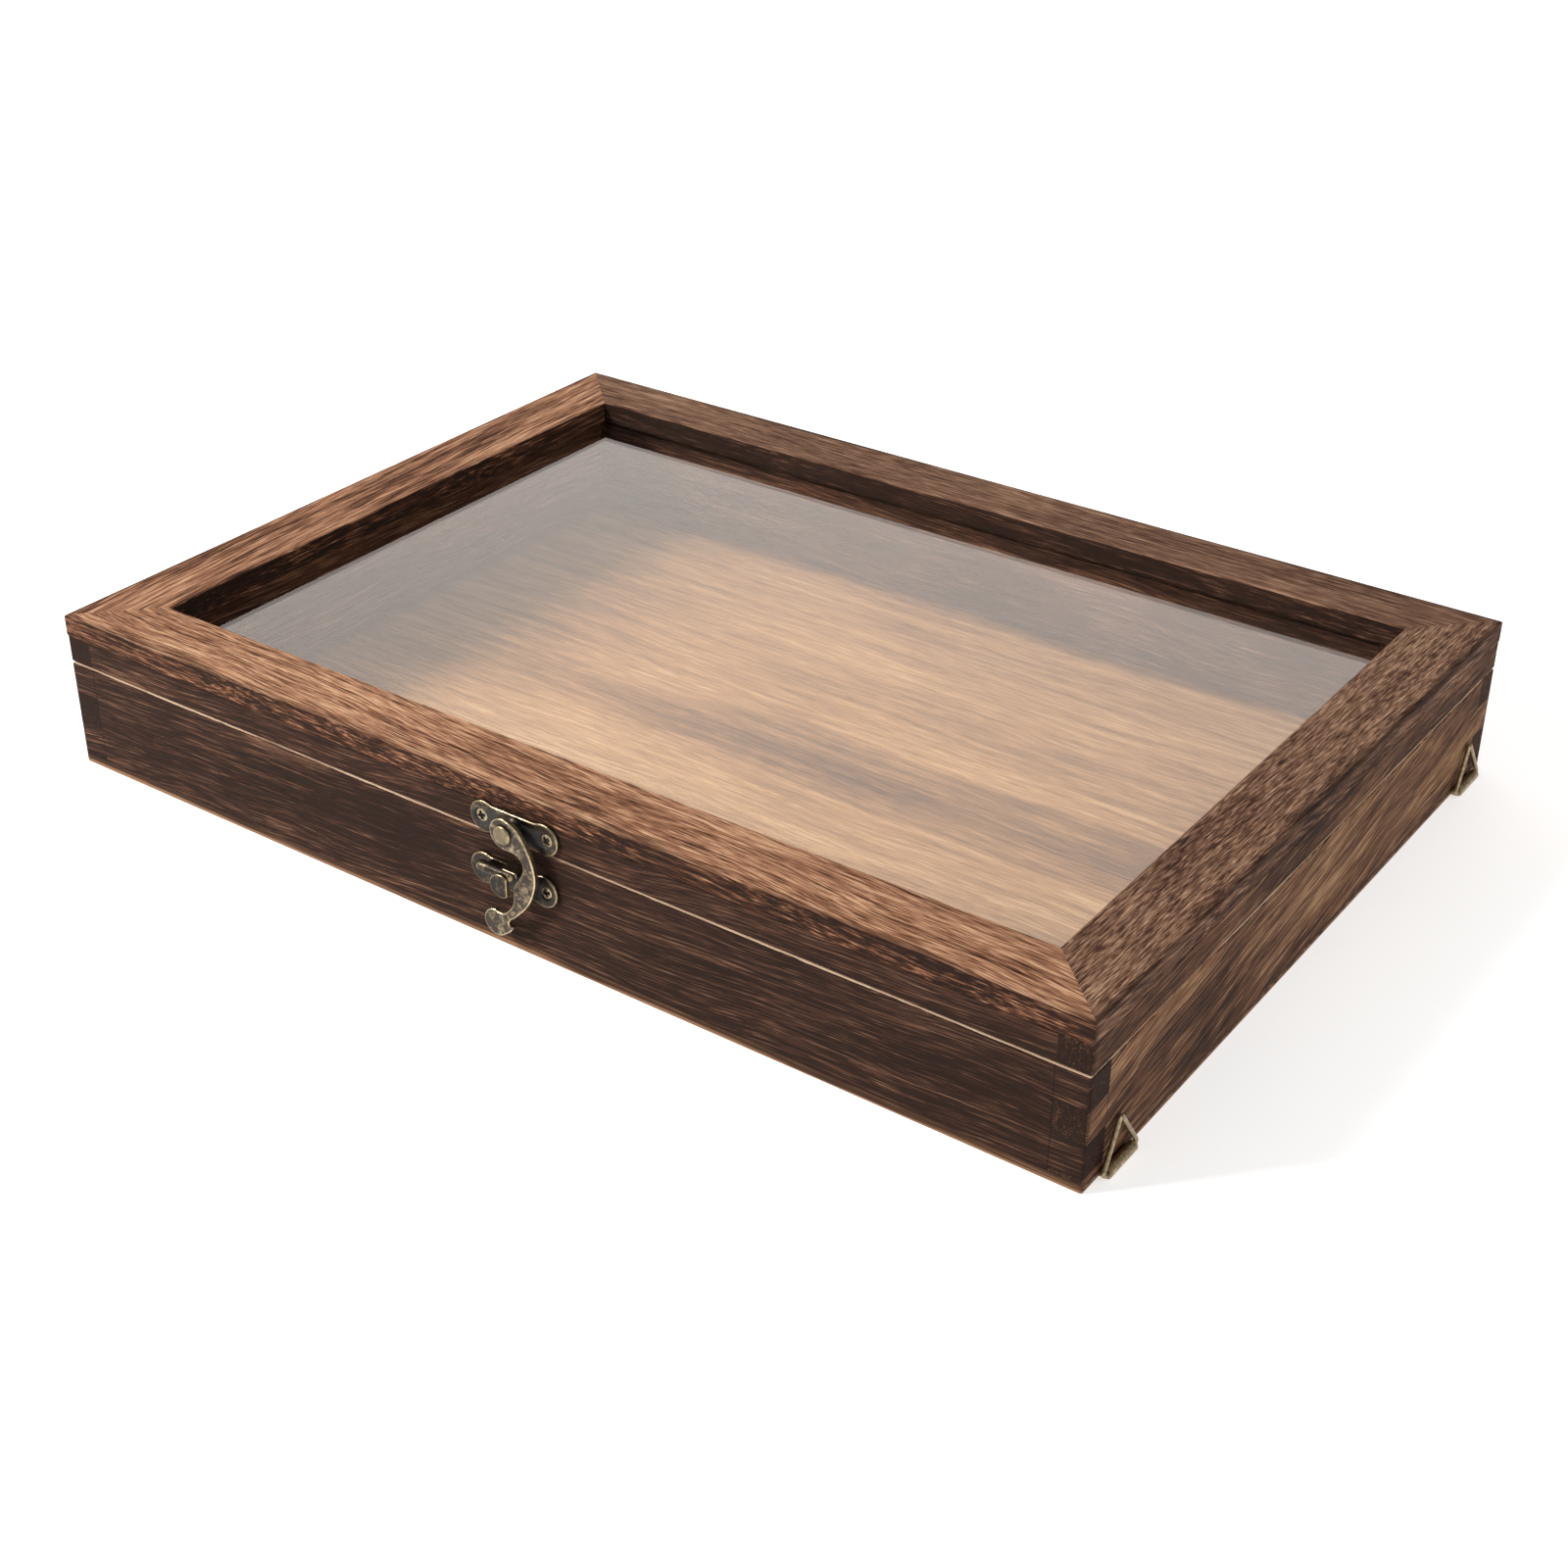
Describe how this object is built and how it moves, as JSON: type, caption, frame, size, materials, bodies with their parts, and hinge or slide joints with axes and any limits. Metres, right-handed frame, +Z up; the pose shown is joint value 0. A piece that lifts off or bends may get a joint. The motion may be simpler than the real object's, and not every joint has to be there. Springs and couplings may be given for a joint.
{
  "type": "tabletop display case",
  "caption": "Flat wooden display case with a hinged glazed lid, a swing-hook latch in front and ring hangers for hanging it on a wall.",
  "frame": {"origin": "centre of the flat underside of the bottom panel", "axes": "+X runs to the right along the hinge line, +Y to the back where the hinges are, +Z up out of the glass"},
  "size_m": [0.3534, 0.2612, 0.05],
  "materials": {
    "wall_wood": "dark torched open-grain wood, dry matt",
    "frame_wood": "reddish brown torched open-grain wood, dry matt",
    "panel_wood": "torched panel, tan with smoky darker bands",
    "glass": "clear picture glass",
    "point_steel": "bright zinc-plated steel",
    "hinge_brass": "antique darkened brass",
    "latch_brass": "antique darkened brass with rubbed bright edges",
    "screw_brass": "antique darkened brass",
    "hanger_brass": "antique brass wire and strap, lightly rubbed"
  },
  "bodies": {
    "base": {"base_wall_front": "wall_wood", "base_wall_back": "wall_wood", "base_wall_left": "wall_wood", "base_wall_right": "wall_wood", "bottom_panel": "panel_wood", "hinge_left_base_leaf": "hinge_brass", "hinge_right_base_leaf": "hinge_brass", "hinge_left_pin": "hinge_brass", "hinge_right_pin": "hinge_brass", "hinge_screws_base": "screw_brass", "catch_plate": "latch_brass", "catch_screws": "screw_brass", "hanger_strap_front": "hanger_brass", "hanger_strap_back": "hanger_brass", "hanger_screws": "screw_brass"},
    "lid": {"lid_rail_front": "wall_wood", "lid_rail_back": "wall_wood", "lid_rail_left": "wall_wood", "lid_rail_right": "wall_wood", "face_frame_front": "frame_wood", "face_frame_back": "frame_wood", "face_frame_left": "frame_wood", "face_frame_right": "frame_wood", "glass_pane": "glass", "glazing_points": "point_steel", "hinge_left_lid_leaf": "hinge_brass", "hinge_right_lid_leaf": "hinge_brass", "hinge_screws_lid": "screw_brass", "hook_plate": "latch_brass", "hook_plate_screws": "screw_brass", "hook_rivet": "latch_brass"},
    "hook": {"hook": "latch_brass"},
    "ring_front": {"hanger_ring_front": "hanger_brass"},
    "ring_back": {"hanger_ring_back": "hanger_brass"}
  },
  "joints": [
    {"name": "lid_hinge", "type": "hinge", "parent": "base", "child": "lid", "pos_m": [0, 0.1269, 0.0342], "axis": [-1, 0, 0], "range_deg": [0, 180]},
    {"name": "hook_pivot", "type": "hinge", "parent": "lid", "child": "hook", "pos_m": [0.0017, -0.1295, 0.0395], "axis": [0, -1, 0], "range_deg": [0, 110]},
    {"name": "ring_front_swing", "type": "hinge", "parent": "base", "child": "ring_front", "pos_m": [0.1769, -0.11, 0.0015], "axis": [0, 1, 0], "range_deg": [0, 180]},
    {"name": "ring_back_swing", "type": "hinge", "parent": "base", "child": "ring_back", "pos_m": [0.1769, 0.11, 0.0015], "axis": [0, 1, 0], "range_deg": [0, 180]}
  ]
}
